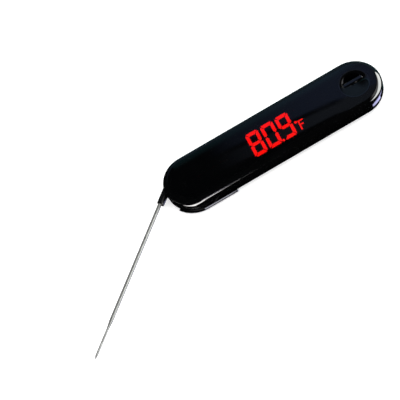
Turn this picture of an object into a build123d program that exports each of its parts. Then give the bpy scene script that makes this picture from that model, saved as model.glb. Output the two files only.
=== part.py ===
from build123d import *
from math import cos, radians, sin, tan
import os

# Folding instant-read meat thermometer: LED display body and swing-out needle probe.
#
# The body lies on its back with the display facing +Z and its long axis along +X.
# The origin is where the probe's hinge axis meets the plane of the flat back.
# Everything that turns with the probe is drawn in the probe's own plane: local x runs
# along the needle towards its tip, and the needle lies at a constant distance on the
# -y side of the hinge. The body's channel for the folded needle uses the same plane,
# turned to the folded direction.

# ---------------------------------------------------------------- driving dimensions (mm)
# body
end_radius = 20.0            # rounded ends of the body, half its width
end_spacing = 127.2          # between the centres of the two rounded ends
body_height = 14.4           # back plane to display face
front_round = 3.8            # edge round between the face and the side
back_round = 6.5             # edge round between the side and the back
side_wall = 1.8
back_wall = 1.6
joint_height = 7.8           # where the two shells meet
inner_wall = 1.3             # walls round the hinge chamber and the needle channel
channel_roof = 1.2           # over the folded needle, above the joint
channel_spare = 1.6          # past the folded needle's point

# face
lens_thickness = 1.2
lens_gap = 0.1               # round the edge of the lens
glue_thickness = 0.2
glue_width = 2.2
glue_ring = 1.0              # width of the ring round the hanging eye
skin_thickness = 1.2         # of the front shell under the lens

# probe
needle_offset = 16.8         # hinge axis to needle axis
needle_reach = 141.6         # foot of the hinge axis to the needle's point
needle_radius = 1.3
tip_radius = 0.8
tip_length = 20.6            # straight reduced stretch
neck_length = 6.0            # cone between the two diameters
point_length = 3.2
needle_bore_radius = 0.75
tip_bore_radius = 0.5
needle_rear = 9.5            # where the needle starts inside the arm
arm_reach = 20.6             # foot of the hinge axis to the end of the arm
arm_width = 4.9
arm_outer = 18.8             # hinge axis to the arm's outer side
arm_round = 1.9
drum_height = 5.0
drum_level = 3.6             # underside of the drum
opening_angle = 139.7        # rest pose, from the folded needle's parallel direction
fold_past = 2.2              # the folded needle passes parallel by this much
swing_gap = 0.35             # round all that swings
slot_gap = 0.3               # above and below all that swings

# drum
cover_radius = 16.4
cover_thickness = 1.0
cover_gap = 0.1
drum_pocket_radius = 15.2
drum_floor = 1.2
spindle_radius = 4.5
spindle_bore_radius = 2.5
pin_radius = 3.4             # lower spindle
pin_length = 1.6
running_gap = 0.05           # radial, shaft in bore

# display
digit_height = 19.5
digit_width = 9.6
digit_lean = 5.0             # degrees, tops towards +X
upright_width = 2.3          # of the upright segments
bar_width_outer = 2.65       # of the top and bottom segments
bar_width_middle = 2.4
digit_corner = 1.3           # cut off a digit's outer corners
digit_waist = 0.9            # cut off the uprights where they meet at the sides
digit_pitch = 11.53
digit_gap = 0.42             # between segments
units_centre_x = 73.45       # centre of the last digit
digits_y = -0.7
segment_top = 12.1
segment_depth = 1.4
display_left = 32.6
display_right = 87.4
display_bottom_y = -11.2
display_top_y = 10.4

# boards and battery
board_level = 5.6            # underside of the board
board_thickness = 1.0
cell_radius = 10.0
cell_height = 3.2
door_x = 100.5
door_y = 0.4
door_wall = 1.65             # round the cell's cup
door_flange = 1.4            # flange beyond the plug
door_flange_thickness = 1.6
cup_gap = 0.25               # round the cell

# hanging eye
eye_x = 128.4
dish_radius = 10.9
dish_depth = 1.7
bowl_radius = 9.6
slot_radius = 6.53           # arc of the half-moon slot
slot_arc_y = 2.47
slot_flat_y = 4.25
eye_wall = 1.2
bar_length = 16.0
bar_width = 3.35
bar_thickness = 1.6
bar_sink = 0.8               # top of the bar below the face
bar_gap = 0.25
bar_round = 0.9

# ---------------------------------------------------------------- derived
half_spacing = end_spacing / 2
face = body_height
lens_under = face - lens_thickness
skin_top = lens_under - glue_thickness
skin_under = skin_top - skin_thickness
lens_radius = end_radius - front_round
cavity_radius = end_radius - side_wall
drum_top = drum_level + drum_height
drum_middle = drum_level + drum_height / 2
slot_floor = drum_level - slot_gap
slot_roof = drum_top + slot_gap
partition_top = slot_roof + inner_wall
bar_top = face - bar_sink
bar_under = bar_top - bar_thickness
door_plug_radius = cell_radius + cup_gap + door_wall
door_flange_radius = door_plug_radius + door_flange
recess_radius = lens_radius + lens_gap / 2
chamber_radius = arm_outer + swing_gap
arm_inner = arm_outer - arm_width
channel_floor = drum_middle - needle_radius - swing_gap
channel_side = needle_offset - needle_radius - swing_gap
channel_roof_top = joint_height + channel_roof
channel_end = needle_reach + channel_spare
board_top = board_level + board_thickness
outer = 40.0                 # reaches past the body on every side
cut_spare = 0.01             # a groove's cut starts this far outside
seal_gap = 0.02              # a ring seal stops short of its bore by this much


def turned_plane(level, angle):
    """A level plane whose x axis points at angle, in degrees, from +X."""
    direction = (cos(radians(angle)), sin(radians(angle)), 0)
    return Plane(origin=(0, 0, level), x_dir=direction, z_dir=(0, 0, 1))


def probe_plane(level):
    """The probe's plane at rest."""
    return turned_plane(level, 360 - opening_angle)


def along_needle(level_x):
    """A plane across the needle, at level_x along it, facing the tip, with its y axis up."""
    base = probe_plane(drum_middle)
    origin = base.from_local_coords(Vector(level_x, -needle_offset, 0))
    return Plane(origin=origin, x_dir=base.y_dir, z_dir=base.x_dir)


def body_outline(radius):
    """The stadium outline of the body, for use inside a sketch."""
    with Locations((half_spacing, 0)):
        SlotCenterToCenter(end_spacing, 2 * radius)


def write(builder, label):
    """Names a finished piece and writes its STEP file."""
    builder.part.label = label
    export_step(builder.part, f"parts/{label}.step")


os.makedirs("parts", exist_ok=True)

# ---------------------------------------------------------------- space that the probe sweeps
mouth_x = 0.8                # left of this the hinge chamber is open all round
pocket_end = arm_reach + 0.9
end_round = 0.5


def arm_outline(grow=0.0):
    """Plan of the drum's and arm's space, for use inside a sketch."""
    Circle(chamber_radius + grow)
    with Locations((mouth_x + grow - outer / 2, 0)):
        Rectangle(outer, 2 * outer)
    with Locations(Location((0, 0, 0), (0, 0, fold_past))):
        with Locations((0, swing_gap - arm_inner + grow)):
            Rectangle(pocket_end + grow, outer, align=(Align.MIN, Align.MAX))


def channel_outline(grow=0.0):
    """Plan of the folded needle's channel, for use inside a sketch."""
    with Locations(Location((0, 0, 0), (0, 0, fold_past))):
        with Locations((arm_reach, grow - channel_side)):
            Rectangle(channel_end - arm_reach + grow, outer, align=(Align.MIN, Align.MAX))


with BuildPart() as arm_space:
    with BuildSketch(Plane.XY.offset(slot_floor)):
        arm_outline()
    extrude(amount=slot_roof - slot_floor)

with BuildPart() as needle_space:
    with BuildSketch(Plane.XY.offset(channel_floor)):
        channel_outline()
    extrude(amount=joint_height - channel_floor)

with BuildPart() as arm_walls:                   # the same spaces, grown by their walls
    with BuildSketch():
        arm_outline(inner_wall)
    extrude(amount=partition_top)

with BuildPart() as needle_walls:
    with BuildSketch():
        channel_outline(inner_wall)
    extrude(amount=channel_roof_top)

# ---------------------------------------------------------------- dry chambers inside the shells
with BuildPart() as front_cavity:
    with BuildSketch(Plane.XY.offset(joint_height)):
        body_outline(cavity_radius)
    extrude(amount=skin_under - joint_height)
    add(arm_walls.part, mode=Mode.SUBTRACT)
    add(needle_walls.part, mode=Mode.SUBTRACT)

with BuildSketch(Plane.XY.offset(joint_height)) as dry_outline:
    body_outline(cavity_radius)
    with BuildSketch(Plane.XY.offset(joint_height), mode=Mode.SUBTRACT):
        arm_outline(inner_wall)
        channel_outline(inner_wall)

with BuildPart() as back_cavity:
    with BuildSketch(Plane.XY.offset(back_wall)):
        body_outline(cavity_radius)
    extrude(amount=joint_height - back_wall)
    fillet(back_cavity.edges().group_by(Axis.Z)[0], back_round - side_wall)
    add(arm_walls.part, mode=Mode.SUBTRACT)
    add(needle_walls.part, mode=Mode.SUBTRACT)

# ---------------------------------------------------------------- where the screws go
screw_places = [(28.2, 11.5), (28.2, -9.0), (90.5, 12.0), (116.3, 10.5), (116.3, -7.0)]
boss_radius = 2.3
screw_radius = 1.0
screw_head_radius = 1.9
screw_head_height = 1.3
screw_sink = 0.4             # head below the back
screw_length = 8.6
screw_clear = 0.15
pilot_depth = 3.2

# ---------------------------------------------------------------- front shell
eye_gap = 0.05
spindle_opening = 6.8        # assembly opening over the spindle
lead_slot_width = 4.0
window_margin = 0.5
window_round = 1.0
window_x = (display_left + display_right) / 2
window_y = (display_bottom_y + display_top_y) / 2
window_length = display_right - display_left + 2 * window_margin
window_width = display_top_y - display_bottom_y + 2 * window_margin
with BuildPart() as front_shell:
    with BuildSketch(Plane.XY.offset(joint_height)):
        body_outline(end_radius)
    extrude(amount=face - joint_height)
    fillet(front_shell.edges().group_by(Axis.Z)[-1], front_round)
    with BuildSketch(Plane.XY.offset(skin_top)):
        body_outline(recess_radius)
    extrude(amount=face - skin_top, mode=Mode.SUBTRACT)
    add(front_cavity.part, mode=Mode.SUBTRACT)
    add(arm_space.part, mode=Mode.SUBTRACT)
    # bosses for the case screws
    with BuildSketch(Plane.XY.offset(joint_height)):
        with Locations(*screw_places):
            Circle(boss_radius)
    extrude(amount=skin_top - joint_height)
    with BuildSketch(Plane.XY.offset(joint_height)):
        with Locations(*screw_places):
            Circle(screw_radius)
    extrude(amount=pilot_depth, mode=Mode.SUBTRACT)
    # window for the display, opening over the spindle, and the slot for its leads
    with BuildSketch(Plane.XY.offset(skin_under)):
        with Locations((window_x, window_y)):
            RectangleRounded(window_length, window_width, window_round)
        Circle(spindle_opening)
        with Locations((display_left / 2, 0)):
            Rectangle(display_left, lead_slot_width)
    extrude(amount=skin_thickness, mode=Mode.SUBTRACT)
    # bore for the probe's spindle
    with BuildSketch(Plane.XY.offset(slot_roof)):
        Circle(spindle_radius + running_gap)
    extrude(amount=inner_wall, mode=Mode.SUBTRACT)
    # seat of the hanging eye
    with BuildSketch(Plane.XY.offset(skin_under)):
        with Locations((eye_x, 0)):
            Circle(bowl_radius + eye_gap)
    extrude(amount=skin_thickness, mode=Mode.SUBTRACT)
write(front_shell, "front_shell")

# ---------------------------------------------------------------- back shell
seal_width = 0.6
seal_depth = 0.6
seal_inset = 0.35
door_gap = 0.15
bayonet_ring_radius = door_flange_radius + 0.6
bayonet_ring_top = 4.2
door_bore_gap = 0.1
lug_count = 2
lug_reach = 1.1
lug_width = 4.6
lug_rest = -10.0             # where the first lug points when the door is locked
lug_turn = 45.0              # from locked to free
door_bore_top = 3.4          # all round; above it only clear of the needle's channel
lug_gap = 0.2
button_x = 59.0
button_radius = 4.0
button_gap = 0.15
magnet_places = [(40.5, 0.0), (77.5, 0.0)]
magnet_radius = 5.0
magnet_height = 2.0
magnet_floor = 0.6
magnet_wall = 1.0
post_radius = 1.5
post_places = [(36.0, 12.8), (66.0, 13.2), (50.0, -9.2), (82.0, -8.4)]
ledge_start = -19.5
ledge_end = 24.0
ledge_level = 1.6
ledge_chamfer = 0.5
ledge_corner = 1.2
pin_end_gap = 0.1
with BuildPart() as arm_ledge:                   # square edge of the body under the folded arm
    with BuildSketch(Plane.XY.offset(ledge_level)):
        body_outline(end_radius)
        with Locations(((ledge_start + ledge_end) / 2, -end_radius)):
            Rectangle(ledge_end - ledge_start, end_radius, mode=Mode.INTERSECT)
        fillet(vertices().sort_by(Axis.X)[-2:].sort_by(Axis.Y)[0], ledge_corner)
    extrude(amount=slot_floor - ledge_level)
    top_edges = arm_ledge.edges().group_by(Axis.Z)[-1]
    chamfer(top_edges.sort_by(Axis.Y)[:3], ledge_chamfer)

with BuildPart() as back_shell:
    with BuildSketch():
        body_outline(end_radius)
    extrude(amount=joint_height)
    fillet(back_shell.edges().group_by(Axis.Z)[0], back_round)
    add(arm_ledge.part)
    add(back_cavity.part, mode=Mode.SUBTRACT)
    add(arm_space.part, mode=Mode.SUBTRACT)
    add(needle_space.part, mode=Mode.SUBTRACT)
    # blind bore for the lower spindle
    with BuildSketch(Plane.XY.offset(slot_floor)):
        Circle(pin_radius + running_gap)
    extrude(amount=-(pin_length + pin_end_gap - slot_gap), mode=Mode.SUBTRACT)
    # groove for the seal round the dry chamber
    with BuildSketch(Plane.XY.offset(joint_height)):
        offset(dry_outline.sketch_local, seal_inset + seal_width)
        offset(dry_outline.sketch_local, seal_inset, mode=Mode.SUBTRACT)
    extrude(amount=-seal_depth, mode=Mode.SUBTRACT)
    # screw bosses, board posts and magnet cups
    with BuildSketch(Plane.XY.offset(back_wall)):
        with Locations(*screw_places):
            Circle(boss_radius)
    extrude(amount=joint_height - back_wall)
    with BuildSketch(Plane.XY.offset(back_wall)):
        with Locations(*post_places):
            Circle(post_radius)
    extrude(amount=board_level - back_wall)
    with BuildSketch(Plane.XY.offset(back_wall)):
        with Locations(*magnet_places):
            Circle(magnet_radius + magnet_wall)
    extrude(amount=magnet_floor + magnet_height - back_wall)
    with BuildSketch(Plane.XY.offset(magnet_floor)):
        with Locations(*magnet_places):
            Circle(magnet_radius)
    extrude(amount=magnet_height, mode=Mode.SUBTRACT)
    # battery door: recess, bore, bayonet ring and its lug slots
    with BuildSketch(Plane.XY.offset(back_wall)):
        with Locations((door_x, door_y)):
            Circle(bayonet_ring_radius)
    extrude(amount=bayonet_ring_top - back_wall)
    with BuildSketch():
        with Locations((door_x, door_y)):
            Circle(door_flange_radius + door_gap)
    extrude(amount=door_flange_thickness, mode=Mode.SUBTRACT)
    with BuildSketch():
        with Locations((door_x, door_y)):
            Circle(door_plug_radius + door_bore_gap)
    extrude(amount=door_bore_top, mode=Mode.SUBTRACT)
    with BuildSketch(Plane.XY.offset(door_bore_top)):
        with Locations((door_x, door_y)):
            Circle(door_plug_radius + door_bore_gap)
        with BuildSketch(Plane.XY.offset(door_bore_top), mode=Mode.SUBTRACT):
            channel_outline(inner_wall)
    extrude(amount=bayonet_ring_top - door_bore_top, mode=Mode.SUBTRACT)
    with BuildSketch():
        with Locations((door_x, door_y)):
            with PolarLocations(0, lug_count, start_angle=lug_rest + lug_turn):
                Rectangle(
                    door_plug_radius + lug_reach + lug_gap,
                    lug_width + 2 * lug_gap,
                    align=(Align.MIN, Align.CENTER),
                )
    extrude(amount=bayonet_ring_top, mode=Mode.SUBTRACT)
    # button, hanging eye and screw holes
    with BuildSketch():
        with Locations((button_x, 0)):
            Circle(button_radius + button_gap)
        with Locations(*screw_places):
            Circle(screw_radius + screw_clear)
    extrude(amount=joint_height, mode=Mode.SUBTRACT)
    with BuildSketch():
        with Locations(*screw_places):
            Circle(screw_head_radius + screw_clear)
    extrude(amount=screw_sink + screw_head_height, mode=Mode.SUBTRACT)
    with BuildSketch():
        with Locations((eye_x, slot_arc_y)):
            Circle(slot_radius + eye_wall + eye_gap)
        with Locations((eye_x, slot_flat_y - eye_wall - eye_gap)):
            Rectangle(outer, outer, align=(Align.CENTER, Align.MAX), mode=Mode.SUBTRACT)
    extrude(amount=back_wall, mode=Mode.SUBTRACT)
write(back_shell, "back_shell")

# ---------------------------------------------------------------- seal and screws of the case
seal_play = 0.05
with BuildPart() as case_seal:
    with BuildSketch(Plane.XY.offset(joint_height)):
        offset(dry_outline.sketch_local, seal_inset + seal_width - seal_play)
        offset(dry_outline.sketch_local, seal_inset + seal_play, mode=Mode.SUBTRACT)
    extrude(amount=-seal_depth)
write(case_seal, "case_seal")

recess_length = 2.2          # cross recess in a screw head
recess_width = 0.5
recess_depth = 0.7
with BuildPart() as case_screws:
    with BuildSketch(Plane.XY.offset(screw_sink)):
        with Locations(*screw_places):
            Circle(screw_head_radius)
    extrude(amount=screw_head_height)
    with BuildSketch(Plane.XY.offset(screw_sink + screw_head_height)):
        with Locations(*screw_places):
            Circle(screw_radius)
    extrude(amount=screw_length)
    with BuildSketch(Plane.XY.offset(screw_sink)):
        with Locations(*screw_places):
            Rectangle(recess_length, recess_width)
            Rectangle(recess_width, recess_length)
    extrude(amount=recess_depth, mode=Mode.SUBTRACT)
write(case_screws, "case_screws")

# ---------------------------------------------------------------- lens and its adhesive
with BuildPart() as display_lens:
    with BuildSketch(Plane.XY.offset(lens_under)):
        body_outline(recess_radius - lens_gap)
        with Locations((eye_x, 0)):
            Circle(dish_radius + lens_gap, mode=Mode.SUBTRACT)
    extrude(amount=lens_thickness)
write(display_lens, "display_lens")

with BuildPart() as lens_adhesive:
    with BuildSketch(Plane.XY.offset(skin_top)):
        body_outline(lens_radius - lens_gap)
        with Locations((half_spacing, 0)):
            SlotCenterToCenter(end_spacing, 2 * (lens_radius - lens_gap - glue_width), mode=Mode.SUBTRACT)
        with Locations((eye_x, 0)):
            Circle(dish_radius + lens_gap + glue_ring)
            Circle(dish_radius + lens_gap, mode=Mode.SUBTRACT)
    extrude(amount=glue_thickness)
write(lens_adhesive, "lens_adhesive")

# ---------------------------------------------------------------- hanging eye
bowl_floor = 0.8             # under the bar's bed
bowl_under = bar_under - bowl_floor
with BuildPart() as hang_eye:
    with Locations((eye_x, 0, skin_top)):
        Cylinder(dish_radius, face - skin_top, align=(Align.CENTER, Align.CENTER, Align.MIN))
    with Locations((eye_x, 0, bowl_under)):
        Cylinder(bowl_radius, face - bowl_under, align=(Align.CENTER, Align.CENTER, Align.MIN))
    # sleeve down to the back
    with BuildSketch():
        with Locations((eye_x, slot_arc_y)):
            Circle(slot_radius + eye_wall)
        with Locations((eye_x, slot_flat_y - eye_wall)):
            Rectangle(outer, outer, align=(Align.CENTER, Align.MAX), mode=Mode.SUBTRACT)
    extrude(amount=bowl_under)
    # dish, flat at its rim and at its middle
    with BuildSketch(Plane.XZ):
        with BuildLine():
            rim = (eye_x + dish_radius, face)
            middle = (eye_x, face - dish_depth)
            Spline(rim, middle, tangents=((-1, 0), (-1, 0)), tangent_scalars=(1.0, 1.0))
            Polyline(middle, (eye_x, face + dish_depth), (eye_x + dish_radius, face + dish_depth), rim)
        make_face()
    revolve(axis=Axis((eye_x, 0, 0), (0, 0, 1)), mode=Mode.SUBTRACT)
    # half-moon slot right through
    with BuildSketch():
        with Locations((eye_x, slot_arc_y)):
            Circle(slot_radius)
        with Locations((eye_x, slot_flat_y)):
            Rectangle(outer, outer, align=(Align.CENTER, Align.MAX), mode=Mode.SUBTRACT)
    extrude(amount=face, mode=Mode.SUBTRACT)
    # bed of the bar, open to the slot
    with BuildSketch(Plane.XY.offset(bar_under)):
        with Locations((eye_x, slot_flat_y - bar_width / 2)):
            SlotOverall(bar_length + 2 * bar_gap, bar_width + 2 * bar_gap)
    extrude(amount=face - bar_under, mode=Mode.SUBTRACT)
write(hang_eye, "hang_eye")

with BuildPart() as hang_bar:
    with BuildSketch(Plane.XY.offset(bar_under)):
        with Locations((eye_x, slot_flat_y - bar_width / 2)):
            SlotOverall(bar_length, bar_width)
    extrude(amount=bar_thickness)
    fillet(hang_bar.edges().group_by(Axis.Z)[-1], bar_round)
write(hang_bar, "hang_bar")

# ---------------------------------------------------------------- display
def leaning(points):
    """The points of an outline, sheared by the digits' lean about their middle height."""
    return [(x + (y - digits_y) * tan(radians(digit_lean)), y) for x, y in points]


def segment(centre_x, name):
    """Corner points of one segment of the digit at centre_x."""
    side = digit_width / 2
    end = digit_height / 2
    gap = digit_gap / 2
    cut = digit_corner
    inner_x = side - upright_width
    inner_y = end - bar_width_outer
    half_bar = bar_width_middle / 2
    top_right = [(0, end), (side - cut, end), (side - cut / 2 - gap, end - cut / 2 + gap)]
    top_right += [(inner_x - gap, inner_y)]
    top = top_right + [(-x, y) for x, y in top_right[:0:-1]]
    upper_right = [(side, end - cut), (side - cut / 2 + gap, end - cut / 2 - gap), (inner_x, inner_y - gap)]
    upper_right += [(inner_x, half_bar + gap), (side - upright_width / 2, gap), (side, gap + digit_waist)]
    bar = [(side - upright_width / 2 - gap, 0), (inner_x - gap, half_bar), (gap - inner_x, half_bar)]
    middle = bar + [(-x, -y) for x, y in bar]
    outlines = {
        "top": top,
        "bottom": [(x, -y) for x, y in top],
        "upper_right": upper_right,
        "lower_right": [(x, -y) for x, y in upper_right],
        "upper_left": [(-x, y) for x, y in upper_right],
        "lower_left": [(-x, -y) for x, y in upper_right],
        "middle": middle,
    }
    return leaning([(centre_x + x, digits_y + y) for x, y in outlines[name]])


every_segment = [
    "top", "bottom", "upper_right", "lower_right", "upper_left", "lower_left", "middle",
]
hundreds_x = units_centre_x - 3 * digit_pitch
tens_x = units_centre_x - 2 * digit_pitch
ones_x = units_centre_x - digit_pitch
lit_places = [(tens_x, name) for name in every_segment]
lit_places += [(ones_x, name) for name in every_segment if name != "middle"]
lit_places += [(units_centre_x, name) for name in every_segment if name != "lower_left"]
unlit_places = [(hundreds_x, name) for name in every_segment]
unlit_places += [(ones_x, "middle"), (units_centre_x, "lower_left")]
point_radius = 0.95
point_place = (66.95, -9.5)
letter_left = 81.9
letter_width = 4.1
letter_top = -1.9
letter_bottom = -9.5
letter_stroke = 1.0
letter_arm_y = -5.4
letter_arm_short = 0.7       # the lower arm is shorter by this much
degree_place = (80.45, -2.0)
degree_radius = 1.05
degree_hole = 0.35
corner = (Align.MIN, Align.MIN)


def letter_outline():
    """Corner points of the letter F."""
    stem = letter_left + letter_stroke
    right = letter_left + letter_width
    short = right - letter_arm_short
    half = letter_stroke / 2
    points = [(letter_left, letter_bottom), (stem, letter_bottom), (stem, letter_arm_y - half)]
    points += [(short, letter_arm_y - half), (short, letter_arm_y + half), (stem, letter_arm_y + half)]
    points += [(stem, letter_top - letter_stroke), (right, letter_top - letter_stroke)]
    points += [(right, letter_top), (letter_left, letter_top)]
    return leaning(points)


def outlines(shapes, grow=0.0):
    """Adds shapes given by their corner points to the current sketch, grown by a clearance."""
    for points in shapes:
        with BuildSketch(mode=Mode.PRIVATE) as one:
            Polygon(*points, align=None)
            if grow:
                offset(amount=grow, kind=Kind.INTERSECTION)
        add(one.sketch)


def round_marks(grow=0.0):
    """Adds the decimal point and the degree sign to the current sketch."""
    with Locations(point_place):
        Circle(point_radius + grow)
    with Locations(degree_place):
        Circle(degree_radius + grow)


lit_shapes = [segment(*place) for place in lit_places] + [letter_outline()]
unlit_shapes = [segment(*place) for place in unlit_places]
with BuildPart() as segments_lit:
    with BuildSketch(Plane.XY.offset(segment_top - segment_depth)):
        outlines(lit_shapes)
        round_marks()
        with Locations(degree_place):
            Circle(degree_hole, mode=Mode.SUBTRACT)
    extrude(amount=segment_depth)
write(segments_lit, "segments_lit")

with BuildPart() as segments_unlit:
    with BuildSketch(Plane.XY.offset(segment_top - segment_depth)):
        outlines(unlit_shapes)
    extrude(amount=segment_depth)
write(segments_unlit, "segments_unlit")

well_gap = 0.03
segment_proud = 0.1          # above the housing
housing_top = segment_top - segment_proud
housing_chamfer = 0.3
board_gap = 0.3              # round the walls inside the case
with BuildPart() as display_housing:
    with BuildSketch(Plane.XY.offset(board_top)):
        with Locations((display_left, display_bottom_y)):
            Rectangle(display_right - display_left, display_top_y - display_bottom_y, align=corner)
    extrude(amount=housing_top - board_top)
    chamfer(display_housing.edges().group_by(Axis.Z)[-1], housing_chamfer)
    with BuildSketch(Plane.XY.offset(board_top)):
        channel_outline(inner_wall + board_gap)
    extrude(amount=channel_roof_top + board_gap - board_top, mode=Mode.SUBTRACT)
    with BuildSketch(Plane.XY.offset(board_top)):
        outlines(lit_shapes + unlit_shapes, well_gap)
        round_marks(well_gap)
    extrude(amount=housing_top - board_top, mode=Mode.SUBTRACT)
write(display_housing, "display_housing")

die_size = 0.9
die_height = 0.5


def middle_of(points):
    """Where the emitter under a shape stands."""
    xs = [x for x, y in points]
    ys = [y for x, y in points]
    return ((min(xs) + max(xs)) / 2, (min(ys) + max(ys)) / 2)


letter_die = (letter_left + letter_stroke / 2, letter_arm_y)
die_places = [middle_of(points) for points in lit_shapes[:-1] + unlit_shapes]
die_places += [point_place, degree_place, letter_die]
with BuildPart() as led_emitters:
    with BuildSketch(Plane.XY.offset(board_top)):
        with Locations(*die_places):
            Rectangle(die_size, die_size)
    extrude(amount=die_height)
write(led_emitters, "led_emitters")

# ---------------------------------------------------------------- circuit board
board_left = 23.6
board_right = 119.0
board_edge_y = 16.6
board_corner = 2.0
with BuildPart() as main_board:
    with BuildSketch(Plane.XY.offset(board_level)):
        with Locations((board_left, -end_radius)):
            Rectangle(board_right - board_left, end_radius + board_edge_y, align=corner)
        fillet(vertices(), board_corner)
    extrude(amount=board_thickness)
    with BuildSketch(Plane.XY.offset(board_level)):
        channel_outline(inner_wall + board_gap)
    extrude(amount=board_thickness, mode=Mode.SUBTRACT)
    with BuildSketch(Plane.XY.offset(board_level)):
        with Locations(*screw_places):
            Circle(boss_radius + board_gap)
    extrude(amount=board_thickness, mode=Mode.SUBTRACT)
write(main_board, "main_board")

chip_x = 68.0
chip_y = 6.5
chip_size = 7.0
chip_height = 1.1
chip_chamfer = 0.15
with BuildPart() as controller_chip:
    with BuildSketch(Plane.XY.offset(board_level)):
        with Locations((chip_x, chip_y)):
            Rectangle(chip_size, chip_size)
    extrude(amount=-chip_height)
    chamfer(controller_chip.edges().group_by(Axis.Z)[0], chip_chamfer)
write(controller_chip, "controller_chip")

resistor_size = (1.6, 0.8)
resistor_pitch = (2.6, 2.4)
resistors_place = (chip_x, -5.5)
capacitor_size = (2.0, 1.25)
capacitor_pitch = 2.6
capacitors_place = (30.0, 3.0)
component_height = 0.8
with BuildPart() as small_components:            # resistors and capacitors under the board
    with BuildSketch(Plane.XY.offset(board_level)):
        with Locations(resistors_place):
            with GridLocations(*resistor_pitch, 4, 2):
                Rectangle(*resistor_size)
        with Locations(capacitors_place):
            with GridLocations(0, capacitor_pitch, 1, 2):
                Rectangle(*capacitor_size)
    extrude(amount=-component_height)
write(small_components, "small_components")

sensor_place = (24.4, 8.0)
sensor_size = (1.6, 2.9)
with BuildPart() as hall_sensor:                 # feels the magnet in the drum
    with BuildSketch(Plane.XY.offset(board_top)):
        with Locations(sensor_place):
            Rectangle(*sensor_size)
    extrude(amount=chip_height)
    chamfer(hall_sensor.edges().group_by(Axis.Z)[-1], chip_chamfer)
write(hall_sensor, "hall_sensor")

# ---------------------------------------------------------------- leads inside the body
axial_gap = 0.05
washer_thickness = 0.4
clip_thickness = 0.6
clip_level = partition_top + washer_thickness + 2 * axial_gap
spindle_tail = 0.4           # past the clip
spindle_top = clip_level + clip_thickness + spindle_tail
lead_radius = 0.35
lead_gap = 0.15
lead_level = spindle_top + lead_radius + lead_gap
lead_split = 9.35            # the twist between the two leads is inside the spindle
lead_bend = 0.45             # share of the shorter run that a bend takes
connector_x = 26.6
connector_size = (3.0, 5.6)
connector_height = 2.4
connector_chamfer = 0.2
connector_top = board_top + connector_height
with BuildPart() as lead_connector:
    with BuildSketch(Plane.XY.offset(board_top)):
        with Locations((connector_x, 0)):
            Rectangle(*connector_size)
    extrude(amount=connector_height)
    chamfer(lead_connector.edges().group_by(Axis.Z)[-1], connector_chamfer)
write(lead_connector, "lead_connector")

with BuildPart() as board_leads:
    with BuildLine():
        start = (0, 0, lead_split + lead_gap)
        rise = lead_level - lead_split - lead_gap
        drop = lead_level - connector_top
        FilletPolyline(
            start, (0, 0, lead_level), (connector_x, 0, lead_level), (connector_x, 0, connector_top),
            radius=[lead_bend * rise, lead_bend * drop],
        )
    with BuildSketch(Plane(origin=start, z_dir=(0, 0, 1))):
        Circle(lead_radius)
    sweep()
write(board_leads, "board_leads")

# ---------------------------------------------------------------- unit button and its switch
button_sink = 0.3
button_top = 3.0
button_round = 0.4
button_flange = 0.9
button_flange_thickness = 0.6
button_flange_level = back_wall + button_gap
button_travel = 0.5
switch_size = 6.0
switch_level = button_top + 0.75
plunger_radius = 1.2
plunger_top = button_top + 1.3
plunger_spare = 0.1          # over the pressed plunger
with BuildPart() as unit_button:
    with BuildSketch(Plane.XY.offset(button_sink)):
        with Locations((button_x, 0)):
            Circle(button_radius)
    extrude(amount=button_top - button_sink)
    fillet(unit_button.edges().group_by(Axis.Z)[0], button_round)
    with BuildSketch(Plane.XY.offset(button_flange_level)):
        with Locations((button_x, 0)):
            Circle(button_radius + button_flange)
    extrude(amount=button_flange_thickness)
write(unit_button, "unit_button")

with BuildPart() as switch_plunger:
    with BuildSketch(Plane.XY.offset(button_top)):
        with Locations((button_x, 0)):
            Circle(plunger_radius)
    extrude(amount=plunger_top - button_top)
write(switch_plunger, "switch_plunger")

with BuildPart() as unit_switch:
    with BuildSketch(Plane.XY.offset(switch_level)):
        with Locations((button_x, 0)):
            Rectangle(switch_size, switch_size)
    extrude(amount=board_level - switch_level)
    with BuildSketch(Plane.XY.offset(switch_level)):
        with Locations((button_x, 0)):
            Circle(plunger_radius + running_gap)
    extrude(amount=plunger_top + button_travel + plunger_spare - switch_level, mode=Mode.SUBTRACT)
write(unit_switch, "unit_switch")

magnet_chamfer = 0.2
with BuildPart() as back_magnets:
    with BuildSketch(Plane.XY.offset(magnet_floor)):
        with Locations(*magnet_places):
            Circle(magnet_radius)
    extrude(amount=magnet_height)
    chamfer(back_magnets.edges().group_by(Axis.Z)[-1], magnet_chamfer)
write(back_magnets, "back_magnets")

# ---------------------------------------------------------------- battery, contacts and door
cell_level = 1.95
cell_round = 0.5
cell_rim = 1.3               # width and depth of the step round the cell's top
cell_step = 0.25
cup_wall_top = 3.3
cup_floor = cell_level - cup_gap
door_chamfer = 0.3
door_rest = 0.05             # flange below the recess's roof
lug_relief = 0.15            # posts inside the bore
lug_rise = 0.1               # lugs above the ring
lug_thickness = 0.8
door_seal_radius = 0.4
door_groove_width = 0.9
door_groove_depth = 0.75
door_groove_level = 2.55
coin_slot_length = 17.0
coin_slot_width = 1.9
coin_slot_depth = 0.8
with BuildPart() as coin_cell:
    with Locations((door_x, door_y, cell_level)):
        Cylinder(cell_radius, cell_height, align=(Align.CENTER, Align.CENTER, Align.MIN))
    fillet(coin_cell.edges().group_by(Axis.Z)[0], cell_round)
    with BuildSketch(Plane.XY.offset(cell_level + cell_height)):
        with Locations((door_x, door_y)):
            Circle(cell_radius)
            Circle(cell_radius - cell_rim, mode=Mode.SUBTRACT)
    extrude(amount=-cell_step, mode=Mode.SUBTRACT)
write(coin_cell, "coin_cell")

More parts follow.
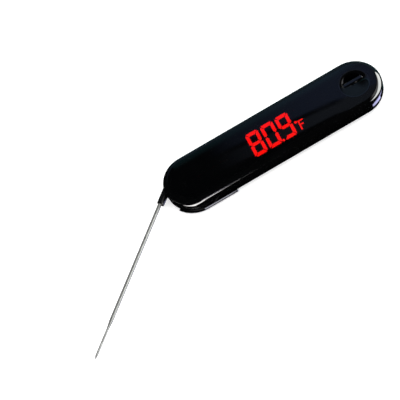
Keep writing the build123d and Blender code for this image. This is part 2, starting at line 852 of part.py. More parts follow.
post_inner = cell_radius + cup_gap
post_thickness = door_plug_radius - lug_relief - post_inner
lug_length = door_plug_radius + lug_reach - post_inner
lug_level = bayonet_ring_top + lug_rise
outward = (Align.MIN, Align.CENTER)
with BuildPart() as battery_door:
    with BuildSketch():
        with Locations((door_x, door_y)):
            Circle(door_flange_radius)
    extrude(amount=door_flange_thickness - door_rest)
    chamfer(battery_door.edges().group_by(Axis.Z)[0], door_chamfer)
    with BuildSketch():
        with Locations((door_x, door_y)):
            Circle(door_plug_radius)
    extrude(amount=cup_wall_top)
    # bayonet posts and lugs
    with BuildSketch(Plane.XY.offset(cup_wall_top)):
        with Locations((door_x, door_y)):
            with PolarLocations(0, lug_count, start_angle=lug_rest):
                with Locations((post_inner, 0)):
                    Rectangle(post_thickness, lug_width, align=outward)
    extrude(amount=lug_level - cup_wall_top)
    with BuildSketch(Plane.XY.offset(lug_level)):
        with Locations((door_x, door_y)):
            with PolarLocations(0, lug_count, start_angle=lug_rest):
                with Locations((post_inner, 0)):
                    Rectangle(lug_length, lug_width, align=outward)
    extrude(amount=lug_thickness)
    # cup for the cell
    with BuildSketch(Plane.XY.offset(cup_floor)):
        with Locations((door_x, door_y)):
            Circle(post_inner)
    extrude(amount=face, mode=Mode.SUBTRACT)
    # groove for the seal
    with BuildSketch(Plane.XY.offset(door_groove_level - door_groove_width / 2)):
        with Locations((door_x, door_y)):
            Circle(door_plug_radius + cut_spare)
            Circle(door_plug_radius - door_groove_depth, mode=Mode.SUBTRACT)
    extrude(amount=door_groove_width, mode=Mode.SUBTRACT)
    # coin slot
    with BuildSketch():
        with Locations((door_x, door_y)):
            SlotOverall(coin_slot_length, coin_slot_width)
    extrude(amount=coin_slot_depth, mode=Mode.SUBTRACT)
write(battery_door, "battery_door")

with BuildPart() as door_seal:
    with Locations((door_x, door_y, door_groove_level)):
        Torus(door_plug_radius + door_bore_gap - seal_gap - door_seal_radius, door_seal_radius)
write(door_seal, "door_seal")

contact_thickness = 0.2
contact_width = 3.0
contact_half = 4.0
contact_flat = 1.2
contact_foot = 1.4
contact_low = cell_level + cell_height
with BuildPart() as centre_contact:
    with BuildSketch(Plane.XZ.offset(-door_y - contact_width / 2)):
        with BuildLine():
            Polyline(
                (door_x - contact_half, board_level),
                (door_x - contact_half, board_level - contact_thickness),
                (door_x - contact_half + contact_foot, board_level - contact_thickness),
                (door_x - contact_flat, contact_low),
                (door_x + contact_flat, contact_low),
                (door_x + contact_half, board_level - contact_thickness),
                (door_x + contact_half, board_level),
                (door_x + contact_flat, contact_low + contact_thickness),
                (door_x - contact_flat, contact_low + contact_thickness),
                (door_x - contact_half + contact_foot, board_level),
                close=True,
            )
        make_face()
    extrude(amount=contact_width)
write(centre_contact, "centre_contact")

edge_contact_gap = 0.02
edge_contact_foot = 2.4
edge_contact_low = cup_wall_top + 0.4
with BuildPart() as edge_contact:                # presses on the rim of the cell
    with BuildSketch(Plane.YZ.offset(door_x - contact_width / 2)):
        with Locations((door_y + cell_radius + edge_contact_gap, edge_contact_low)):
            Rectangle(contact_thickness, board_level - edge_contact_low, align=corner)
        with Locations((door_y + cell_radius + edge_contact_gap, board_level - contact_thickness)):
            Rectangle(edge_contact_foot, contact_thickness, align=corner)
    extrude(amount=contact_width)
write(edge_contact, "edge_contact")

# ---------------------------------------------------------------- probe: drum and arm
lead_hole_radius = 0.9
bend_along = 8.4             # corners of the lead's route, in the probe's plane
pocket_along = 2.5
pocket_offset = 11.0
drum_magnet_radius = 2.0
drum_magnet_height = 2.0
drum_magnet_place = 12.8
drum_magnet_wall = 0.7
drum_magnet_cup = 1.6        # height of the wall round the magnet
lead_hole_spare = 0.5        # the two lead holes run into each other by this much
pocket_level = drum_level + drum_floor
cover_level = drum_top - cover_thickness
spindle_groove_width = 0.95
spindle_groove_depth = 0.75
spindle_chamfer = 0.4
clip_groove_depth = 0.7
hub_seal_radius = 0.38
washer_radius = 6.3
thrust_washer_radius = 9.0
hole_end = probe_plane(drum_middle).from_local_coords(Vector(bend_along, -needle_offset, 0))
hole_start = probe_plane(drum_middle).from_local_coords(Vector(pocket_along, -pocket_offset, 0))


def along(shape):
    """How far a shape's middle is along the needle."""
    return probe_plane(0).to_local_coords(shape.center()).X


with BuildPart() as probe_hub:
    with BuildSketch(probe_plane(drum_level)):
        Circle(arm_outer)
        with Locations((0, -arm_outer)):
            Rectangle(arm_reach, arm_width, align=corner)
    extrude(amount=drum_height)
    levels = probe_hub.edges().group_by(Axis.Z)
    rims = levels[0] + levels[-1]
    fillet(rims.filter_by(lambda edge: along(edge) < arm_reach - end_round), arm_round)
    fillet(probe_hub.faces().sort_by(along)[-1].edges(), end_round)
    # pocket for the leads, seat of the cover and lower spindle
    with BuildSketch(Plane.XY.offset(cover_level)):
        Circle(cover_radius + cover_gap)
    extrude(amount=cover_thickness, mode=Mode.SUBTRACT)
    with BuildSketch(Plane.XY.offset(pocket_level)):
        Circle(drum_pocket_radius)
    extrude(amount=cover_level - pocket_level, mode=Mode.SUBTRACT)
    with BuildSketch(Plane.XY.offset(drum_level)):
        Circle(pin_radius)
    extrude(amount=-pin_length)
    # bore for the needle and the slanting hole for its leads
    with BuildSketch(along_needle(needle_rear)):
        Circle(needle_radius)
    extrude(amount=arm_reach - needle_rear, mode=Mode.SUBTRACT)
    with BuildSketch(Plane(origin=hole_start, z_dir=hole_end - hole_start)):
        Circle(lead_hole_radius)
    extrude(amount=(hole_end - hole_start).length, mode=Mode.SUBTRACT)
    with BuildSketch(along_needle(bend_along - lead_hole_spare)):
        Circle(lead_hole_radius)
    extrude(amount=needle_rear - bend_along + lead_hole_spare, mode=Mode.SUBTRACT)
    # cup for the magnet that wakes the thermometer
    with BuildSketch(turned_plane(pocket_level, fold_past - opening_angle)):
        with Locations((drum_magnet_place, 0)):
            Circle(drum_magnet_radius + drum_magnet_wall)
            Circle(drum_magnet_radius, mode=Mode.SUBTRACT)
    extrude(amount=drum_magnet_cup)
write(probe_hub, "probe_hub")

with BuildPart() as hub_cover:
    with BuildSketch(Plane.XY.offset(cover_level)):
        Circle(cover_radius)
    extrude(amount=cover_thickness)
    with BuildSketch(Plane.XY.offset(drum_top)):
        Circle(spindle_radius)
    extrude(amount=spindle_top - drum_top)
    chamfer(hub_cover.edges().group_by(Axis.Z)[-1], spindle_chamfer)
    with BuildSketch(Plane.XY.offset(cover_level)):
        Circle(spindle_bore_radius)
    extrude(amount=spindle_top - cover_level, mode=Mode.SUBTRACT)
    # grooves for the seal and the clip
    with BuildSketch(Plane.XY.offset((slot_roof + partition_top) / 2 - spindle_groove_width / 2)):
        Circle(spindle_radius + cut_spare)
        Circle(spindle_radius - spindle_groove_depth, mode=Mode.SUBTRACT)
    extrude(amount=spindle_groove_width, mode=Mode.SUBTRACT)
    with BuildSketch(Plane.XY.offset(clip_level)):
        Circle(spindle_radius + cut_spare)
        Circle(spindle_radius - clip_groove_depth, mode=Mode.SUBTRACT)
    extrude(amount=clip_thickness, mode=Mode.SUBTRACT)
write(hub_cover, "hub_cover")

with BuildPart() as hub_seal:
    with Locations((0, 0, (slot_roof + partition_top) / 2)):
        Torus(spindle_radius + running_gap - seal_gap - hub_seal_radius, hub_seal_radius)
write(hub_seal, "hub_seal")

with BuildPart() as friction_washer:             # holds the probe where it is put
    with BuildSketch(Plane.XY.offset(partition_top + axial_gap)):
        Circle(washer_radius)
        Circle(spindle_radius + running_gap, mode=Mode.SUBTRACT)
    extrude(amount=washer_thickness)
write(friction_washer, "friction_washer")

with BuildPart() as hub_clip:                    # open ring in the spindle's groove
    with BuildSketch(Plane.XY.offset(clip_level)):
        Circle(washer_radius)
        Circle(spindle_radius - clip_groove_depth, mode=Mode.SUBTRACT)
        with Locations((-washer_radius, 0)):
            Rectangle(2 * washer_radius, spindle_radius, mode=Mode.SUBTRACT)
    extrude(amount=clip_thickness)
write(hub_clip, "hub_clip")

with BuildPart() as thrust_washer:               # under the drum
    with BuildSketch(Plane.XY.offset(slot_floor + axial_gap)):
        Circle(thrust_washer_radius)
        Circle(pin_radius + running_gap, mode=Mode.SUBTRACT)
    extrude(amount=slot_gap - 2 * axial_gap)
write(thrust_washer, "thrust_washer")

with BuildPart() as hub_magnet:
    with BuildSketch(turned_plane(pocket_level, fold_past - opening_angle)):
        with Locations((drum_magnet_place, 0)):
            Circle(drum_magnet_radius)
    extrude(amount=drum_magnet_height)
write(hub_magnet, "hub_magnet")

# ---------------------------------------------------------------- probe: needle, sensor and leads
neck_start = needle_reach - point_length - tip_length - neck_length
neck_end = neck_start + neck_length
point_start = needle_reach - point_length
point_blunt = 0.12
with BuildPart() as needle:
    with BuildSketch(probe_plane(drum_middle)):
        with BuildLine():
            Polyline(
                (needle_rear, -needle_offset),
                (needle_rear, needle_radius - needle_offset),
                (neck_start, needle_radius - needle_offset),
                (neck_end, tip_radius - needle_offset),
                (point_start, tip_radius - needle_offset),
                (needle_reach, point_blunt - needle_offset),
                (needle_reach, -needle_offset),
                close=True,
            )
        make_face()
    revolve(axis=Axis(along_needle(0).origin, along_needle(0).z_dir))
    with BuildSketch(along_needle(needle_rear)):
        Circle(needle_bore_radius)
    extrude(amount=neck_start - needle_rear, mode=Mode.SUBTRACT)
    with BuildSketch(along_needle(neck_start)):
        Circle(tip_bore_radius)
    extrude(amount=point_start - neck_start, mode=Mode.SUBTRACT)
write(needle, "needle")

sensor_length = 2.6
sensor_from_point = 0.4
sensor_round = 0.2
sensor_start = point_start - sensor_length - sensor_from_point
lead_bends = (5.0, 8.0)      # at the end of the needle and into the drum
with BuildPart() as tip_sensor:
    with BuildSketch(along_needle(sensor_start)):
        Circle(tip_bore_radius - running_gap)
    extrude(amount=sensor_length)
    fillet(tip_sensor.edges(), sensor_round)
write(tip_sensor, "tip_sensor")

with BuildPart() as probe_leads:
    frame_plane = probe_plane(drum_middle)
    corners = [(sensor_start, -needle_offset), (bend_along, -needle_offset), (pocket_along, -pocket_offset)]
    corners = [frame_plane.from_local_coords(Vector(x, y, 0)) for x, y in corners]
    corners += [Vector(0, 0, drum_middle), Vector(0, 0, lead_split)]
    with BuildLine():
        FilletPolyline(*corners, radius=[*lead_bends, lead_bend * (lead_split - drum_middle)])
    with BuildSketch(along_needle(sensor_start)):
        Circle(lead_radius)
    sweep()
write(probe_leads, "probe_leads")
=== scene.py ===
from math import cos, pi, radians, sin

import bpy
from mathutils import Matrix, Vector


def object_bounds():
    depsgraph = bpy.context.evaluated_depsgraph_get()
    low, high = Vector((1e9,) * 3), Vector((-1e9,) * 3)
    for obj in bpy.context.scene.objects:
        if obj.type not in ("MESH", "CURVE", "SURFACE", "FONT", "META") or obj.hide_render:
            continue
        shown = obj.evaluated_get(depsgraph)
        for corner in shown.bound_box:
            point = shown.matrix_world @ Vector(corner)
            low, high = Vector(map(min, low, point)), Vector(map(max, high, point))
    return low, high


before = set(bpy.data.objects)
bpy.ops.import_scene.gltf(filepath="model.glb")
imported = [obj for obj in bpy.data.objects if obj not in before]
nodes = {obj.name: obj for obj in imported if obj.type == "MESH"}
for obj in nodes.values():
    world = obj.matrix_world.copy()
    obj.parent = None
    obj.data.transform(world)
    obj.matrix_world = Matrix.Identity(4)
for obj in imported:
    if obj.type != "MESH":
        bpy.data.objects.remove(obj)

cad_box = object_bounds()
MM = 0.001

# ---------------------------------------------------------------- camera
CAMERA_TILT = radians(30.87)        # from straight above towards the near side
CAMERA_LEAD = radians(5.47)         # and a little towards the probe's end
CAMERA_ROLL = radians(30.23)        # the body climbs to the right in the frame
CAMERA_DISTANCE = 2000 * MM
LENS = 267.5                        # on a sensor 36 wide
SENSOR_WIDTH = 36.0
AIM = Vector((-2.4, -14.1, 7.2)) * MM


def add_camera():
    """A long lens above the near side, turned about its own axis."""
    up = Vector((0, cos(CAMERA_TILT), sin(CAMERA_TILT)))
    tilted = Vector((0, -sin(CAMERA_TILT), cos(CAMERA_TILT)))
    across = Vector((1, 0, 0))
    along = across * cos(CAMERA_LEAD) + tilted * sin(CAMERA_LEAD)
    back = tilted * cos(CAMERA_LEAD) - across * sin(CAMERA_LEAD)
    right = along * cos(CAMERA_ROLL) - up * sin(CAMERA_ROLL)
    top = along * sin(CAMERA_ROLL) + up * cos(CAMERA_ROLL)
    data = bpy.data.cameras.new("camera")
    data.sensor_width = SENSOR_WIDTH
    data.lens = LENS
    data.clip_start = 10 * MM
    data.clip_end = 20.0
    camera = bpy.data.objects.new("camera", data)
    camera.matrix_world = Matrix((right, top, back)).transposed().to_4x4()
    camera.location = AIM + back * CAMERA_DISTANCE
    bpy.context.scene.collection.objects.link(camera)
    bpy.context.scene.camera = camera


# ---------------------------------------------------------------- shader maths
class Value:
    """A number on a shader's wire. Arithmetic on it adds Math nodes."""

    def __init__(self, shader, socket):
        self.shader = shader
        self.socket = socket

    def maths(self, operation, first, second=0.0):
        node = self.shader.node("ShaderNodeMath", {"operation": operation}, {0: first, 1: second})
        return Value(self.shader, node.outputs[0])

    def __add__(self, other):
        return self.maths("ADD", self, other)

    def __sub__(self, other):
        return self.maths("SUBTRACT", self, other)

    def __mul__(self, other):
        return self.maths("MULTIPLY", self, other)

    def __truediv__(self, other):
        return self.maths("DIVIDE", self, other)

    def __rsub__(self, other):
        return self.maths("SUBTRACT", other, self)

    __radd__ = __add__
    __rmul__ = __mul__

    def size(self):
        return self.maths("ABSOLUTE", self)


class Shader:
    """The node tree of one material or world."""

    def __init__(self, tree):
        self.tree = tree
        tree.nodes.clear()

    def node(self, kind, settings=(), inputs=()):
        """One node: its settings first, then the values or links of its sockets."""
        made = self.tree.nodes.new(kind)
        for name, value in dict(settings).items():
            if name == "stops":
                self.set_stops(made.color_ramp, value)
            else:
                setattr(made, name, value)
        for name, value in dict(inputs).items():
            self.feed(made.inputs[name], value)
        return made

    def feed(self, socket, value):
        if isinstance(value, Value):
            value = value.socket
        if isinstance(value, bpy.types.NodeSocket):
            self.tree.links.new(value, socket)
        else:
            socket.default_value = value

    def set_stops(self, ramp, stops):
        while len(ramp.elements) < len(stops):
            ramp.elements.new(1.0)
        for element, (place, colour) in zip(ramp.elements, stops):
            element.position = place
            element.color = colour

    def value(self, socket):
        return Value(self, socket)

    def step(self, value, low, high):
        """0 below low, 1 above high and smooth between."""
        node = self.node(
            "ShaderNodeMapRange",
            {"interpolation_type": "SMOOTHSTEP"},
            {"Value": value, "From Min": low, "From Max": high},
        )
        return self.value(node.outputs[0])

    def profile(self, value, points):
        """The height of a broken line through the points (place, height)."""
        places, heights = zip(*points)
        base, rise = min(heights), max(heights) - min(heights)
        run = places[-1] - places[0]
        stops = [((place - places[0]) / run, grey((high - base) / rise)) for place, high in points]
        ramp = self.node("ShaderNodeValToRGB", {"stops": stops}, {0: (value - places[0]) / run})
        return self.value(ramp.outputs[0]) * rise + base

    def mix(self, share, first, second):
        """Blends two colours."""
        node = self.node("ShaderNodeMix", {"data_type": "RGBA"}, {0: share, 6: first, 7: second})
        return node.outputs[2]

    def place(self, turn=0.0, stretch=(1, 1, 1)):
        """Object coordinates, turned about the vertical and stretched."""
        here = self.node("ShaderNodeTexCoord").outputs["Object"]
        turned = self.node("ShaderNodeMapping", {}, {"Vector": here, "Rotation": (0, 0, turn)})
        return self.node(
            "ShaderNodeMapping", {}, {"Vector": turned.outputs[0], "Scale": stretch}
        ).outputs[0]

    def add(self, first, second):
        """Adds two colours."""
        settings = {"data_type": "RGBA", "blend_type": "ADD"}
        return self.node("ShaderNodeMix", settings, {0: 1.0, 6: first, 7: second}).outputs[2]

    def noise(self, where, size, detail=2.0, roughness=0.5):
        """Noise from 0 to 1 whose features are about size across, in metres."""
        node = self.node(
            "ShaderNodeTexNoise",
            {},
            {"Vector": where, "Scale": 1 / size, "Detail": detail, "Roughness": roughness},
        )
        return self.value(node.outputs[0])

    def bump(self, height, distance, strength=1.0):
        node = self.node(
            "ShaderNodeBump", {}, {"Height": height, "Distance": distance, "Strength": strength}
        )
        return node.outputs[0]


def grey(level):
    return (level, level, level, 1.0)


def new_material(name):
    material = bpy.data.materials.new(name)
    material.use_nodes = True
    shader = Shader(material.node_tree)
    shader.surface = shader.node("ShaderNodeBsdfPrincipled")
    output = shader.node("ShaderNodeOutputMaterial")
    shader.feed(output.inputs["Surface"], shader.surface.outputs[0])
    return material, shader


def finish_surface(shader, **sockets):
    """Sets the surface's sockets, named as Principled names them with _ for a space."""
    for name, value in sockets.items():
        shader.feed(shader.surface.inputs[name.replace("_", " ")], value)


# ---------------------------------------------------------------- finishes
LENS_COVER = 0.82                   # share of light that each face of the smoked lens stops
DIGIT_GLOW = 31.0                   # bright enough to come through both faces of the lens
NEEDLE_TURN = radians(139.7)        # turns the needle's axis onto X
WIPE_SIZE = 30 * MM                 # of the wipe marks in the casing's gloss
HAZE_SIZE = 9 * MM
LENS_HAZE_SIZE = 16 * MM
RIPPLE_SIZE = 14 * MM               # of the mould ripple in the casing
RIPPLE_DEPTH = 0.004 * MM
DRAWN_MARK_DEPTH = 0.002 * MM
CELL_SIZE = 3 * MM                  # of the lighter and darker cells in the lit segments
TRACK_PITCH = 3 * MM                # of the copper tracks on the board
TRACK_HEIGHT = 0.03 * MM


def piano_black():
    """Polished black casing: faint wipe marks in the gloss and a trace of mould ripple."""
    material, shader = new_material("piano_black")
    here = shader.place()
    wipes = shader.noise(shader.place(0.5, (1, 5, 1)), WIPE_SIZE, 3)
    haze = shader.noise(here, HAZE_SIZE, 4)
    gloss = 0.035 + 0.05 * shader.step(wipes * haze, 0.2, 0.5)
    tone = shader.mix(haze, (0.0007, 0.0008, 0.0009, 1), (0.0012, 0.0013, 0.0015, 1))
    ripple = shader.bump(shader.noise(here, RIPPLE_SIZE, 0), RIPPLE_DEPTH)
    finish_surface(
        shader, Base_Color=tone, Roughness=gloss, Normal=ripple,
        Specular_IOR_Level=0.8, Coat_Weight=0.7, Coat_Roughness=0.03,
    )
    return material


def smoked_lens():
    """Almost black clear acrylic; the lit digits show through it."""
    material, shader = new_material("smoked_lens")
    haze = shader.noise(shader.place(), LENS_HAZE_SIZE, 3)
    gloss = 0.02 + 0.03 * shader.step(haze, 0.4, 0.75)
    tone = shader.mix(haze, (0.0005, 0.0006, 0.0008, 1), (0.0009, 0.001, 0.0012, 1))
    finish_surface(
        shader, Base_Color=tone, Roughness=gloss, Alpha=LENS_COVER,
        Specular_IOR_Level=0.6, Coat_Weight=0.6, Coat_Roughness=0.02,
    )
    return material


def moulded(name, low, high, roughness, grain_size, grain_depth):
    """Moulded plastic or rubber with a fine grain, between two tones."""
    material, shader = new_material(name)
    here = shader.place()
    cloud = shader.noise(here, 6 * MM, 3)
    grain = shader.noise(here, grain_size, 2)
    finish_surface(
        shader,
        Base_Color=shader.mix(cloud, low, high),
        Roughness=roughness - 0.06 + 0.12 * grain,
        Normal=shader.bump(grain, grain_depth),
    )
    return material


def metal(
    name, low, high, roughness, turn=0.0, stretch=(1, 1, 1), mark_size=0.2 * MM, metallic=1.0,
):
    """Bare or plated metal with drawn or tumbled marks."""
    material, shader = new_material(name)
    marks = shader.noise(shader.place(turn, stretch), mark_size, 3)
    cloud = shader.noise(shader.place(), 5 * MM, 2)
    finish_surface(
        shader,
        Base_Color=shader.mix(cloud, low, high),
        Roughness=roughness - 0.08 + 0.16 * marks,
        Normal=shader.bump(marks, DRAWN_MARK_DEPTH),
        Metallic=metallic,
    )
    return material


def lit_red():
    """The glowing segments, a shade lighter in some cells than in others."""
    material, shader = new_material("lit_red")
    cells = shader.noise(shader.place(), CELL_SIZE, 1)
    glow = shader.mix(cells, (1.0, 0.002, 0.001, 1), (1.0, 0.006, 0.003, 1))
    finish_surface(
        shader, Base_Color=(0.25, 0.01, 0.008, 1), Roughness=0.5,
        Emission_Color=glow, Emission_Strength=DIGIT_GLOW,
    )
    return material


def circuit_board():
    """Green solder mask over copper tracks."""
    material, shader = new_material("circuit_board")
    here = shader.place()
    tracks = shader.node(
        "ShaderNodeTexBrick",
        {"offset": 0.5},
        {
            "Vector": here, "Scale": 1 / TRACK_PITCH, "Mortar Size": 0.05,
            "Color1": grey(0.0), "Color2": grey(0.15), "Mortar": grey(1.0),
        },
    ).outputs[0]
    cloud = shader.noise(here, 4 * MM, 2)
    base = shader.mix(cloud, (0.004, 0.06, 0.022, 1), (0.006, 0.09, 0.03, 1))
    finish_surface(
        shader,
        Base_Color=shader.mix(tracks, base, (0.012, 0.16, 0.05, 1)),
        Roughness=0.25 + 0.1 * cloud,
        Normal=shader.bump(tracks, TRACK_HEIGHT),
    )
    return material


def dress_nodes():
    """Gives every node of the frame its finish."""
    black = piano_black()
    steel = metal(
        "drawn_steel", (0.2, 0.2, 0.195, 1), (0.25, 0.25, 0.24, 1), 0.42,
        NEEDLE_TURN, (0.04, 1, 1), 0.25 * MM, 0.6,
    )
    nickel = metal("nickel_plate", (0.55, 0.54, 0.52, 1), (0.7, 0.69, 0.66, 1), 0.22)
    tin = metal("tinned_brass", (0.5, 0.47, 0.4, 1), (0.68, 0.64, 0.55, 1), 0.3)
    satin = moulded("satin_black_nylon", grey(0.0015), grey(0.003), 0.22, 0.35 * MM, 0.003 * MM)
    rubber = moulded("button_rubber", grey(0.018), grey(0.03), 0.55, 0.25 * MM, 0.015 * MM)
    seal = moulded(
        "seal_silicone", (0.5, 0.08, 0.05, 1), (0.6, 0.1, 0.07, 1), 0.5, 0.4 * MM, 0.005 * MM,
    )
    cream = moulded(
        "cream_plastic", (0.6, 0.56, 0.42, 1), (0.7, 0.66, 0.52, 1), 0.4, 0.4 * MM, 0.005 * MM,
    )
    chip = moulded("chip_black", grey(0.012), grey(0.022), 0.6, 0.15 * MM, 0.008 * MM)
    reflector = moulded("reflector_black", grey(0.006), grey(0.01), 0.5, 0.3 * MM, 0.006 * MM)
    unlit = moulded(
        "unlit_red", (0.012, 0.002, 0.002, 1), (0.016, 0.003, 0.003, 1), 0.5, 0.3 * MM, 0.003 * MM,
    )
    glue = moulded("adhesive_film", grey(0.01), grey(0.02), 0.7, 0.5 * MM, 0.01 * MM)
    sheath = moulded(
        "lead_sheath", (0.5, 0.04, 0.03, 1), (0.6, 0.05, 0.04, 1), 0.4, 0.3 * MM, 0.004 * MM,
    )
    washer = moulded("washer_nylon", grey(0.55), grey(0.65), 0.45, 0.4 * MM, 0.005 * MM)
    finishes = {
        black: ["front_shell", "back_shell", "hang_eye", "hang_bar", "battery_door"],
        smoked_lens(): ["display_lens"],
        satin: ["probe_hub", "hub_cover"],
        steel: ["needle"],
        nickel: ["case_screws", "coin_cell", "back_magnets", "hub_magnet", "hub_clip"],
        tin: ["centre_contact", "edge_contact", "small_components"],
        rubber: ["unit_button"],
        seal: ["case_seal", "door_seal", "hub_seal"],
        cream: ["lead_connector", "led_emitters", "switch_plunger"],
        chip: ["controller_chip", "hall_sensor", "unit_switch", "tip_sensor"],
        reflector: ["display_housing"],
        lit_red(): ["segments_lit"],
        unlit: ["segments_unlit"],
        glue: ["lens_adhesive"],
        sheath: ["board_leads", "probe_leads"],
        washer: ["friction_washer", "thrust_washer"],
        circuit_board(): ["main_board"],
    }
    for material, names in finishes.items():
        for name in names:
            nodes[name].data.materials.clear()
            nodes[name].data.materials.append(material)


# ---------------------------------------------------------------- studio
ROOM_LIGHT = 1.5                    # even white light on whatever isn't polished
FLOOR_GLOW = 0.3                    # keeps the contact shadow faint
FLOOR_RADIUS = 4.0
FLOOR_GAP = 0.02 * MM               # under the thermometer's back
SLOT_MIDDLE = (128.4 * MM, 5.0 * MM)    # of the slot behind the hanging bar
# painted shade: a black disc that stands in, in reflections, for the shaded floor under the slot
SLOT_SHADE_RADIUS = 9.0 * MM
SLOT_SHADE_GAP = 0.01 * MM
CARD_LEVEL = 364.4 * MM
CARD_MIDDLE = (127.0, 213.0)        # the card's own measures are in mm
CARD_SIZE = (190.0, 60.0)
CARD_BRIGHTNESS = [                 # along X
    (56, 0), (64, 0.05), (88, 0.45), (112, 0.6), (148, 0.9), (178, 1.0), (196, 1.4), (208, 2.5),
    (222, 2.6),
]
CARD_EDGE = [                       # the near edge, along X, from the card's middle
    (56, -8), (88, -10.6), (136, -14.7), (166, -16.5), (178, -19), (190, -30), (222, -30),
]
CARD_LOW = (0.085, 0.1, 0.13, 1)
CARD_HIGH = (0.085, 0.115, 0.21, 1)
CARD_HORIZON_SLOPE = -0.117         # a dark line, a little askew, parts the two colours
CARD_HORIZON_X = 148
CARD_HORIZON_DROP = 3.5
CARD_BAND_SHARE = 0.85
TEAL = (0.03, 0.1, 0.11, 1)
DIM_BLUE = (0.06, 0.09, 0.13, 1)
WARM_WHITE = (9.0, 8.8, 8.6, 1)
COOL_WHITE = (7.0, 7.2, 7.0, 1)
LEDGE_WHITE = (4.0, 4.0, 4.6, 1)
LAVENDER = (2.2, 2.2, 3.6, 1)
SIDE_GREY = 0.8
# softboxes bent round the object: bearing from the near side towards the right, height of the
# middle and half the height, all in degrees
FRONT_STRIP = [
    (-68, -31, 1), (-54, -34, 8), (-39, -31, 15), (-30, -24, 21), (-14, -3, 14), (6.25, 21, 12),
]
RIGHT_WALL = [
    (28, 36, 1), (45, 30, 12), (72, 20, 24), (97, 22, 26), (110, 24, 24), (125, 38, 8),
    (130, 42, 1),
]
SASH_EDGE = 2.5
# straight ones: the bearings and the heights that they lie between, in degrees
LEDGE_STRIP = ((-5, 7.25), (29.6, 34.5))
LOW_TABLE = ((36, 90), (-80, -38))
HIGH_SIDE = ((60, 140), (46, 72))


def add_floor():
    """A plain pale sheet under the thermometer."""
    bpy.ops.object.select_all(action="DESELECT")
    bpy.ops.mesh.primitive_circle_add(vertices=96, radius=FLOOR_RADIUS, fill_type="NGON")
    floor = bpy.context.object
    floor.name = "floor"
    floor.location.z = cad_box[0].z - FLOOR_GAP
    floor.visible_glossy = False
    material, shader = new_material("pale_sheet")
    cloud = shader.noise(shader.place(), 0.4, 2)
    finish_surface(
        shader, Base_Color=shader.mix(cloud, grey(0.92), grey(0.94)), Roughness=0.9,
        Specular_IOR_Level=0.0, Emission_Color=grey(1.0), Emission_Strength=FLOOR_GLOW,
    )
    floor.data.materials.append(material)


def add_painted_slot_shade():
    """Painted shade: a black disc under the hanging eye, seen only in reflections, standing in for
    the floor in shade under the slot, so that no softbox shows through the slot.
    """
    bpy.ops.object.select_all(action="DESELECT")
    bpy.ops.mesh.primitive_circle_add(
        vertices=48, radius=SLOT_SHADE_RADIUS, fill_type="NGON",
        location=(*SLOT_MIDDLE, cad_box[0].z - SLOT_SHADE_GAP),
    )
    card = bpy.context.object
    card.name = "painted_slot_shade"
    card.visible_camera = False
    card.visible_diffuse = False
    card.visible_shadow = False
    # black painted shade, standing in for the floor in shade under the slot
    material, shader = new_material("slot_shade_black")
    cloud = shader.noise(shader.place(), 2 * MM, 2)
    finish_surface(
        shader, Base_Color=shader.mix(cloud, grey(0.0), grey(0.001)), Roughness=0.9,
        Specular_IOR_Level=0.0,
    )
    card.data.materials.append(material)


def add_card():
    """A dim graded panel overhead, seen only as the sheen on the display's face."""
    bpy.ops.object.select_all(action="DESELECT")
    bpy.ops.mesh.primitive_plane_add(size=1.0)
    card = bpy.context.object
    card.name = "overhead_card"
    card.scale = (CARD_SIZE[0] * MM, CARD_SIZE[1] * MM, 1)
    card.location = (CARD_MIDDLE[0] * MM, CARD_MIDDLE[1] * MM, CARD_LEVEL)
    bpy.ops.object.transform_apply(location=False, rotation=False, scale=True)
    card.visible_camera = False
    card.visible_diffuse = False
    card.visible_shadow = False
    card.visible_transmission = False
    material = bpy.data.materials.new("overhead_card")
    material.use_nodes = True
    shader = Shader(material.node_tree)
    here = shader.node("ShaderNodeTexCoord").outputs["Object"]
    parts = shader.node("ShaderNodeSeparateXYZ", {}, {0: here}).outputs
    x = shader.value(parts[0]) / MM + CARD_MIDDLE[0]
    y = shader.value(parts[1]) / MM
    level = shader.profile(x, CARD_BRIGHTNESS)
    horizon = CARD_HORIZON_SLOPE * (x - CARD_HORIZON_X) - CARD_HORIZON_DROP
    band = 1.0 - shader.step((y - horizon).size(), 0.6, 3.4)
    band = CARD_BAND_SHARE * band * (1.0 - shader.step(x, 168, 186)) * shader.step(x, 60, 84)
    cut = shader.step(y - shader.profile(x, CARD_EDGE), -1.0, 1.0)
    tone = shader.mix(shader.step(y - horizon, -1, 1), CARD_LOW, CARD_HIGH)
    tone = shader.mix(level * cut * (1.0 - band), grey(0.0), tone)
    top = shader.mix(shader.step(y, 13, 20), grey(0.0), TEAL)
    glow = shader.node("ShaderNodeEmission", {}, {"Color": shader.add(tone, top), "Strength": 1.0})
    output = shader.node("ShaderNodeOutputMaterial")
    shader.feed(output.inputs["Surface"], glow.outputs[0])
    card.data.materials.append(material)


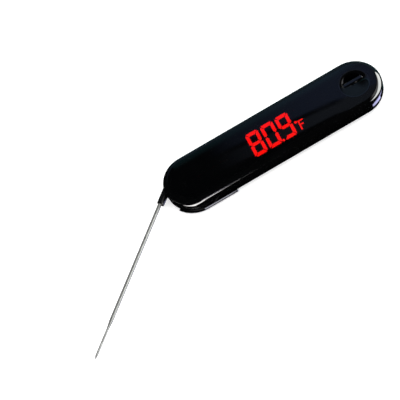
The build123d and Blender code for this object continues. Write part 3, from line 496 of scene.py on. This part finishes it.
def add_studio():
    """Even white light for what is matt; softboxes in a dark room for what is polished."""
    world = bpy.data.worlds.new("studio")
    bpy.context.scene.world = world
    world.use_nodes = True
    shader = Shader(world.node_tree)
    towards = shader.node("ShaderNodeTexCoord").outputs["Generated"]
    parts = shader.node("ShaderNodeSeparateXYZ", {}, {0: towards}).outputs
    x, y, z = [shader.value(part) for part in parts]
    # the bearing turns from the near side towards the right
    bearing = x.maths("ARCTAN2", x, 0.0 - y) * (180 / pi)
    height = x.maths("ARCSINE", z) * (180 / pi)

    def within(value, low, high, edge):
        """1 between low and high, fading over edge inside them."""
        return shader.step(value, low, low + edge) * (1.0 - shader.step(value, high - edge, high))

    def straight(softbox, end_edge, edge):
        """1 inside a straight softbox."""
        bearings, heights = softbox
        return within(bearing, *bearings, end_edge) * within(height, *heights, edge)

    def sash(points, end_edge):
        """1 inside a softbox bent round the object."""
        middle = shader.profile(bearing, [(place, high) for place, high, half in points])
        half = shader.profile(bearing, [(place, half) for place, high, half in points])
        inside = 1.0 - shader.step((height - middle).size() - half, -SASH_EDGE, SASH_EDGE)
        return inside * within(bearing, points[0][0], points[-1][0], end_edge)

    strip = sash(FRONT_STRIP, 0.25)
    ledge_strip = straight(LEDGE_STRIP, 0.2, 1.0)
    wall = sash(RIGHT_WALL, 0.4)
    table = straight(LOW_TABLE, 6, 4)
    side = straight(HIGH_SIDE, 8, 5)
    behind = shader.step(y, 0.25, 0.45) * (1.0 - shader.step(z, 0.76, 0.84))
    behind = behind * shader.step(x, -0.25, 0.1)
    sky = shader.mix(shader.step(z, 0.1, 0.35), TEAL, DIM_BLUE)
    colour = shader.mix(behind, grey(0.0), sky)
    colour = shader.mix(side, colour, grey(SIDE_GREY))
    colour = shader.mix(table, colour, LAVENDER)
    colour = shader.mix(strip, colour, WARM_WHITE)
    colour = shader.mix(ledge_strip, colour, LEDGE_WHITE)
    colour = shader.mix(wall, colour, COOL_WHITE)
    path = shader.node("ShaderNodeLightPath").outputs
    seen = shader.mix(path["Is Glossy Ray"], grey(ROOM_LIGHT), colour)
    background = shader.node("ShaderNodeBackground", {}, {"Color": seen, "Strength": 1.0})
    output = shader.node("ShaderNodeOutputWorld")
    shader.feed(output.inputs["Surface"], background.outputs[0])


add_camera()
dress_nodes()
add_floor()
add_painted_slot_shade()
add_card()
add_studio()
bpy.context.scene.view_settings.view_transform = "Standard"
